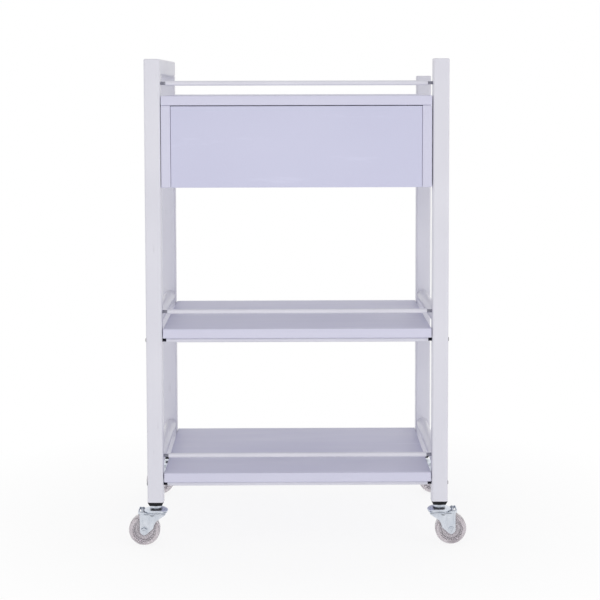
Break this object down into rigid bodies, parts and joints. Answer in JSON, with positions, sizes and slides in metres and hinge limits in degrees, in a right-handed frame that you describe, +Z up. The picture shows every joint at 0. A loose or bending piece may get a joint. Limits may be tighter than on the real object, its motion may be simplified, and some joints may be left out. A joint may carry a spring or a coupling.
{
  "type": "rolling salon trolley",
  "caption": "Open rolling salon trolley: square tube posts carry a railed top with a drawer beneath it and railed lower shelves, on swivel casters with clear wheels.",
  "frame": {"origin": "on the floor, at the centre of the overall box", "axes": "+Z up, the front (drawer side) faces -Y, +X to the right when seen from the front"},
  "size_m": [0.5416, 0.3574, 0.777],
  "materials": {
    "frame_paint": "satin white powder coat with a cool cast",
    "melamine_board": "smooth white melamine board with a lilac cast, edges banded",
    "dark_steel": "dark oxide bolts",
    "pin_zinc": "zinc-plated pins in the guard rails",
    "runner_zinc": "zinc-plated sheet",
    "caster_zinc": "bright zinc-plated pressed steel",
    "black_plastic": "black moulded plastic",
    "clear_wheel": "clear moulded plastic with a faint pinkish tint"
  },
  "bodies": {
    "frame": {"front_left_post": "frame_paint", "front_right_post": "frame_paint", "rear_left_post": "frame_paint", "rear_right_post": "frame_paint", "left_handle_bar": "frame_paint", "mid_left_side_rail": "frame_paint", "mid_right_side_rail": "frame_paint", "low_left_side_rail": "frame_paint", "low_right_side_rail": "frame_paint", "top_guard_rail": "frame_paint", "mid_guard_rail": "frame_paint", "low_guard_rail": "frame_paint", "mid_front_shelf_rod": "frame_paint", "mid_rear_shelf_rod": "frame_paint", "low_front_shelf_rod": "frame_paint", "low_rear_shelf_rod": "frame_paint", "top_guard_rail_pin": "pin_zinc", "mid_guard_rail_pin": "pin_zinc", "low_guard_rail_pin": "pin_zinc", "mid_front_shelf_rod_bolt": "dark_steel", "mid_rear_shelf_rod_bolt": "dark_steel", "low_front_shelf_rod_bolt": "dark_steel", "low_rear_shelf_rod_bolt": "dark_steel", "mid_shelf": "melamine_board", "low_shelf": "melamine_board", "unit_top_board": "melamine_board", "unit_left_panel": "melamine_board", "unit_right_panel": "melamine_board", "unit_back_panel": "melamine_board", "left_runner_channel": "runner_zinc", "right_runner_channel": "runner_zinc", "front_left_caster_plug": "black_plastic", "front_right_caster_plug": "black_plastic", "rear_left_caster_plug": "black_plastic", "rear_right_caster_plug": "black_plastic", "front_left_caster_stem_head": "caster_zinc", "front_right_caster_stem_head": "caster_zinc", "rear_left_caster_stem_head": "caster_zinc", "rear_right_caster_stem_head": "caster_zinc"},
    "drawer": {"drawer_front": "melamine_board", "drawer_left_side": "melamine_board", "drawer_right_side": "melamine_board", "drawer_back": "melamine_board", "drawer_floor": "melamine_board", "left_runner_slider": "runner_zinc", "right_runner_slider": "runner_zinc"},
    "front_left_caster_swivel_body": {"front_left_caster_fork": "caster_zinc", "front_left_caster_axle": "caster_zinc"},
    "front_left_caster_wheel_body": {"front_left_caster_wheel": "clear_wheel"},
    "front_left_caster_brake_body": {"front_left_caster_brake_lever": "caster_zinc"},
    "front_right_caster_swivel_body": {"front_right_caster_fork": "caster_zinc", "front_right_caster_axle": "caster_zinc"},
    "front_right_caster_wheel_body": {"front_right_caster_wheel": "clear_wheel"},
    "front_right_caster_brake_body": {"front_right_caster_brake_lever": "caster_zinc"},
    "rear_left_caster_swivel_body": {"rear_left_caster_fork": "caster_zinc", "rear_left_caster_axle": "caster_zinc"},
    "rear_left_caster_wheel_body": {"rear_left_caster_wheel": "clear_wheel"},
    "rear_right_caster_swivel_body": {"rear_right_caster_fork": "caster_zinc", "rear_right_caster_axle": "caster_zinc"},
    "rear_right_caster_wheel_body": {"rear_right_caster_wheel": "clear_wheel"}
  },
  "joints": [
    {"name": "drawer_slide", "type": "slide", "parent": "frame", "child": "drawer", "axis": [0, -1, 0], "range_m": [0, 0.25]},
    {"name": "front_left_caster_swivel", "type": "hinge", "parent": "frame", "child": "front_left_caster_swivel_body", "pos_m": [-0.2273, -0.1593, 0.054], "axis": [0, 0, 1], "continuous": true},
    {"name": "front_left_caster_wheel_spin", "type": "hinge", "parent": "front_left_caster_swivel_body", "child": "front_left_caster_wheel_body", "pos_m": [-0.2458, -0.1593, 0.025], "axis": [0, 1, 0], "continuous": true},
    {"name": "front_left_caster_brake", "type": "hinge", "parent": "front_left_caster_swivel_body", "child": "front_left_caster_brake_body", "pos_m": [-0.2492, -0.1593, 0.054], "axis": [0, -1, 0], "range_deg": [0, 30]},
    {"name": "front_right_caster_swivel", "type": "hinge", "parent": "frame", "child": "front_right_caster_swivel_body", "pos_m": [0.2273, -0.1593, 0.054], "axis": [0, 0, 1], "continuous": true},
    {"name": "front_right_caster_wheel_spin", "type": "hinge", "parent": "front_right_caster_swivel_body", "child": "front_right_caster_wheel_body", "pos_m": [0.2458, -0.1593, 0.025], "axis": [0, 1, 0], "continuous": true},
    {"name": "front_right_caster_brake", "type": "hinge", "parent": "front_right_caster_swivel_body", "child": "front_right_caster_brake_body", "pos_m": [0.2492, -0.1593, 0.054], "axis": [0, 1, 0], "range_deg": [0, 30]},
    {"name": "rear_left_caster_swivel", "type": "hinge", "parent": "frame", "child": "rear_left_caster_swivel_body", "pos_m": [-0.2273, 0.1593, 0.054], "axis": [0, 0, 1], "continuous": true},
    {"name": "rear_left_caster_wheel_spin", "type": "hinge", "parent": "rear_left_caster_swivel_body", "child": "rear_left_caster_wheel_body", "pos_m": [-0.2458, 0.1593, 0.025], "axis": [0, 1, 0], "continuous": true},
    {"name": "rear_right_caster_swivel", "type": "hinge", "parent": "frame", "child": "rear_right_caster_swivel_body", "pos_m": [0.2273, 0.1593, 0.054], "axis": [0, 0, 1], "continuous": true},
    {"name": "rear_right_caster_wheel_spin", "type": "hinge", "parent": "rear_right_caster_swivel_body", "child": "rear_right_caster_wheel_body", "pos_m": [0.2458, 0.1593, 0.025], "axis": [0, 1, 0], "continuous": true}
  ]
}
